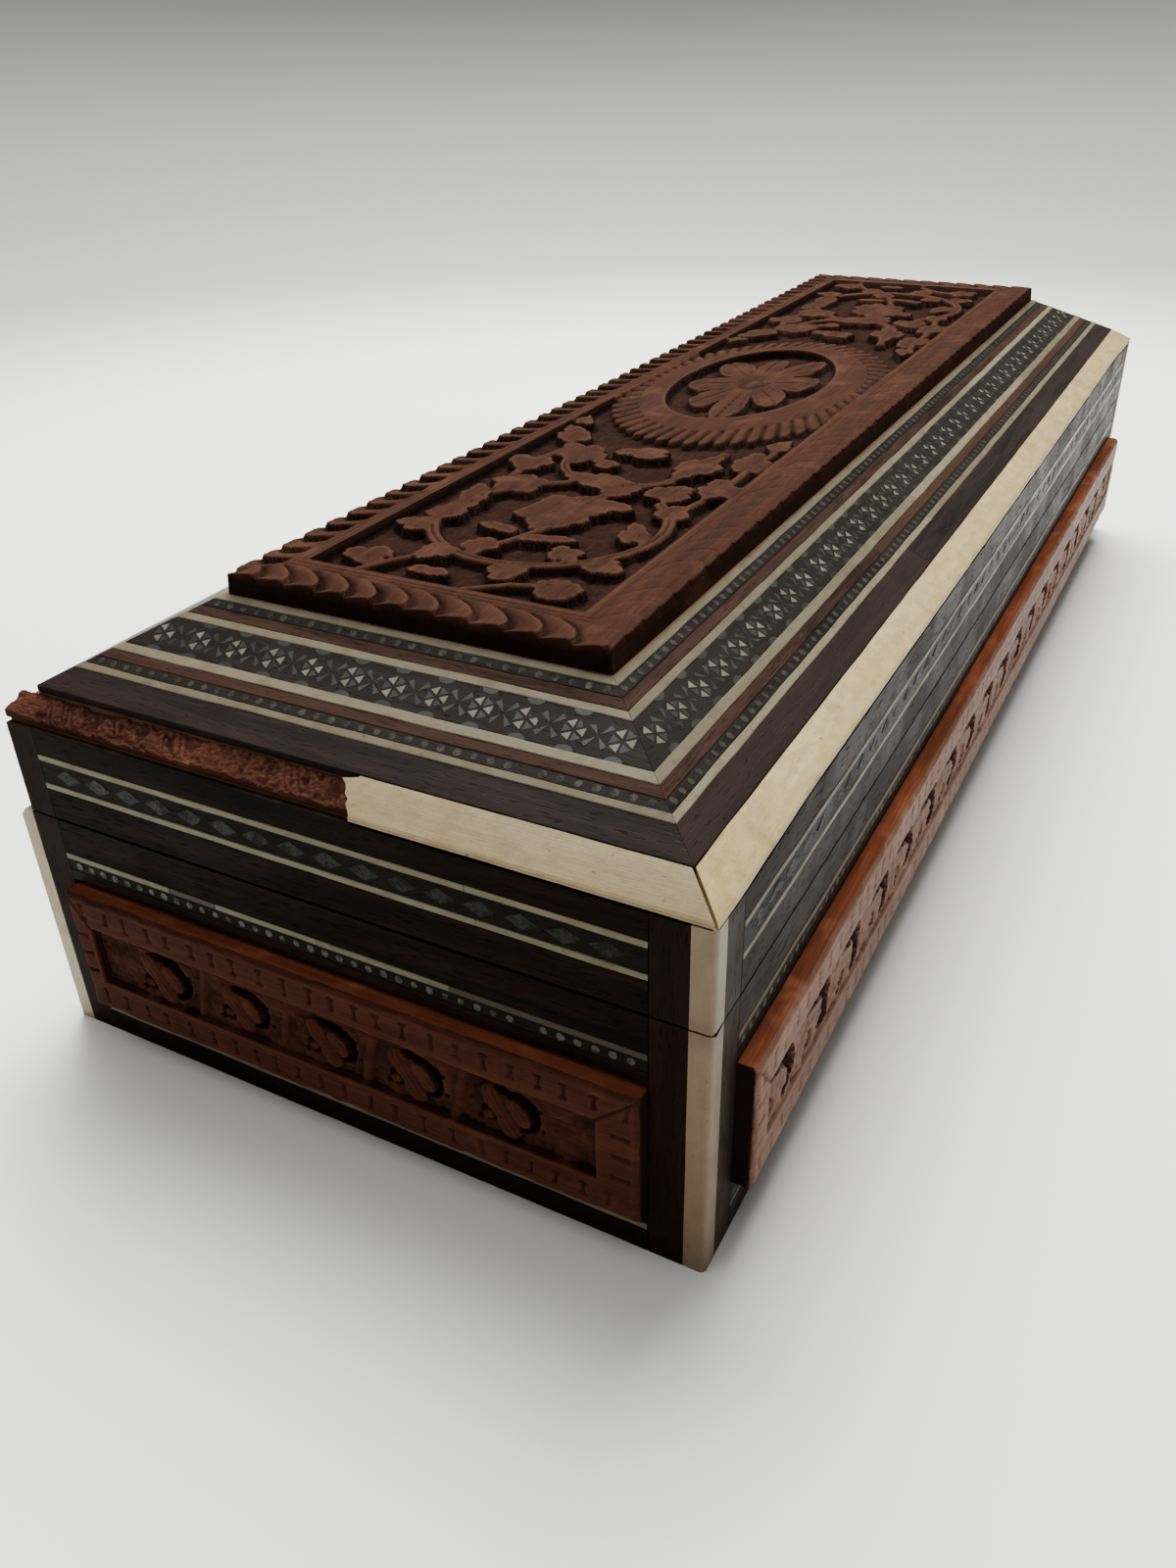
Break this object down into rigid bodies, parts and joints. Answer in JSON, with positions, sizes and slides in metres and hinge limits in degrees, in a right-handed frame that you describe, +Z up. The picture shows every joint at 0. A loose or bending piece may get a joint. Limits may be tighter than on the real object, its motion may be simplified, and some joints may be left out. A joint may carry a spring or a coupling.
{
  "type": "inlaid hinged box",
  "caption": "Long low wooden box with a hinged sloping lid, carved panels, bone edges, pewter dot and lozenge bands and a star mosaic.",
  "frame": {"origin": "middle of the underside", "axes": "+X along the length, -Y out of the front wall, the hinges on the +Y wall, +Z up"},
  "size_m": [0.3048, 0.116, 0.072],
  "materials": {
    "sandalwood": "bare fine-grained sandalwood boards, seen inside and where an edging strip has broken off",
    "carved_sandalwood": "carved sandalwood, red-brown, worn paler on the high faces",
    "rosewood": "dark satin rosewood veneer with open pores",
    "bone": "polished cream bone with faint growth lines",
    "stringing": "ebony strip with pewter dots between thin bone lines",
    "lozenge_inlay": "ebony strip with pewter lozenges between bone lines",
    "star_mosaic": "end-grain mosaic of ebony, pewter, stained and white bone tesserae",
    "brass": "dull aged brass"
  },
  "bodies": {
    "box": {"bottom_board": "sandalwood", "box_band_lower_back": "stringing", "box_band_lower_front": "stringing", "box_band_lower_left": "stringing", "box_band_lower_right": "stringing", "box_band_upper_back": "stringing", "box_band_upper_front": "stringing", "box_band_upper_left": "stringing", "box_band_upper_right": "stringing", "box_board_back": "sandalwood", "box_board_front": "sandalwood", "box_board_left": "sandalwood", "box_board_right": "sandalwood", "box_veneer_back": "rosewood", "box_veneer_front": "rosewood", "box_veneer_left": "rosewood", "box_veneer_right": "rosewood", "carved_panel_back": "carved_sandalwood", "carved_panel_front": "carved_sandalwood", "carved_panel_left": "carved_sandalwood", "carved_panel_right": "carved_sandalwood", "corner_strip_box_back_left": "bone", "corner_strip_box_back_right": "bone", "corner_strip_box_front_left": "bone", "corner_strip_box_front_right": "bone", "hinge_leaf_box_left": "brass", "hinge_leaf_box_right": "brass", "hinge_pin_left": "brass", "hinge_pin_right": "brass"},
    "lid": {"border_band": "rosewood", "carved_lid_panel": "carved_sandalwood", "corner_strip_lid_back_right": "bone", "corner_strip_lid_front_left": "bone", "corner_strip_lid_front_right": "bone", "edging_strip_back": "bone", "edging_strip_front": "bone", "edging_strip_left": "bone", "edging_strip_right": "bone", "hinge_leaf_lid_left": "brass", "hinge_leaf_lid_right": "brass", "inner_stringing_band": "stringing", "lid_band_back": "lozenge_inlay", "lid_band_front": "lozenge_inlay", "lid_band_left": "lozenge_inlay", "lid_band_right": "lozenge_inlay", "lid_board_back": "sandalwood", "lid_board_front": "sandalwood", "lid_board_left": "sandalwood", "lid_board_right": "sandalwood", "lid_veneer_back": "rosewood", "lid_veneer_front": "rosewood", "lid_veneer_left": "rosewood", "lid_veneer_right": "rosewood", "mosaic_band": "star_mosaic", "outer_stringing_band": "stringing", "slope_board_back": "sandalwood", "slope_board_front": "sandalwood", "slope_board_left": "sandalwood", "slope_board_right": "sandalwood", "top_board": "sandalwood"}
  },
  "joints": [
    {"name": "lid_hinge", "type": "hinge", "parent": "box", "child": "lid", "pos_m": [0, 0.0534, 0.04015], "axis": [-1, 0, 0], "range_deg": [0, 100]}
  ]
}
